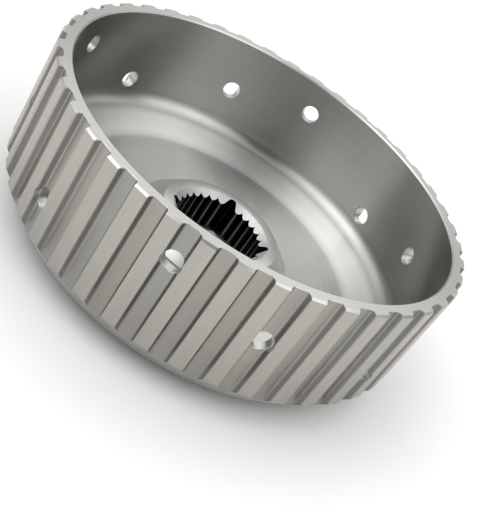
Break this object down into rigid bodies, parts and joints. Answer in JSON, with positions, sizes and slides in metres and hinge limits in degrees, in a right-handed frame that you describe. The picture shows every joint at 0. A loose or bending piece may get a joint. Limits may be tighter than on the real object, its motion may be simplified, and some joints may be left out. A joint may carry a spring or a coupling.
{
  "type": "clutch hub",
  "caption": "Automatic gearbox clutch hub: a machined steel cup with straight outer teeth and radial oil holes, and a centre hub with a splined bore.",
  "frame": {"origin": "centre of the hub's back face, on the spline axis", "axes": "+Z along the spline axis, out of the open end; +X through the middle of an outer tooth"},
  "size_m": [0.144, 0.1438, 0.049],
  "materials": {
    "drum_steel": "satin, turned inside and hobbed outside",
    "hub_steel": "satin, turned, with a broached bore"
  },
  "bodies": {
    "root": {"clutch_drum": "drum_steel", "splined_hub": "hub_steel"}
  },
  "joints": []
}
